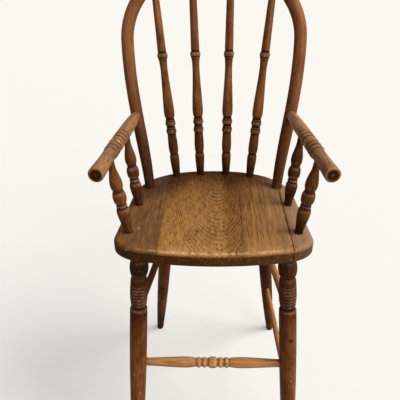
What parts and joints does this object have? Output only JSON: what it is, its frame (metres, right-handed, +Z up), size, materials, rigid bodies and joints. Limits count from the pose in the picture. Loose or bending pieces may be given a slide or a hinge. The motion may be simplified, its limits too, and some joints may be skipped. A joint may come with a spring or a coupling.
{
  "type": "high chair",
  "caption": "Child's windsor high chair: plank seat on splayed turned legs with stretchers, bent bow back with turned spindles, and turned arms on short posts.",
  "frame": {"origin": "on the floor, under the middle of the chair's bounding box", "axes": "+Z up, the sitter faces -Y, and left and right in the node names are as seen from the front: left is -X"},
  "size_m": [0.3734, 0.4116, 1.0014],
  "materials": {
    "seat_wood": "worn waxed brown, golden in the middle",
    "leg_wood": "dark red-brown stain, satin",
    "rung_wood": "lighter orange-brown, satin",
    "back_wood": "dark brown stain, satin",
    "arm_wood": "worn lighter brown, satin",
    "screw_steel": "dark, dull with age"
  },
  "bodies": {
    "root": {"seat_board_left": "seat_wood", "seat_board_centre_left": "seat_wood", "seat_board_centre_right": "seat_wood", "seat_board_right": "seat_wood", "front_leg_left": "leg_wood", "front_leg_right": "leg_wood", "rear_leg_left": "leg_wood", "rear_leg_right": "leg_wood", "front_stretcher": "rung_wood", "upper_stretcher_left": "rung_wood", "upper_stretcher_right": "rung_wood", "lower_stretcher_right": "rung_wood", "bow": "back_wood", "back_spindle_outer_left": "back_wood", "back_spindle_inner_left": "back_wood", "back_spindle_inner_right": "back_wood", "back_spindle_outer_right": "back_wood", "arm_post_front_left": "back_wood", "arm_post_front_right": "back_wood", "arm_post_rear_left": "back_wood", "arm_post_rear_right": "back_wood", "arm_left": "arm_wood", "arm_right": "arm_wood", "leg_screw": "screw_steel"}
  },
  "joints": []
}
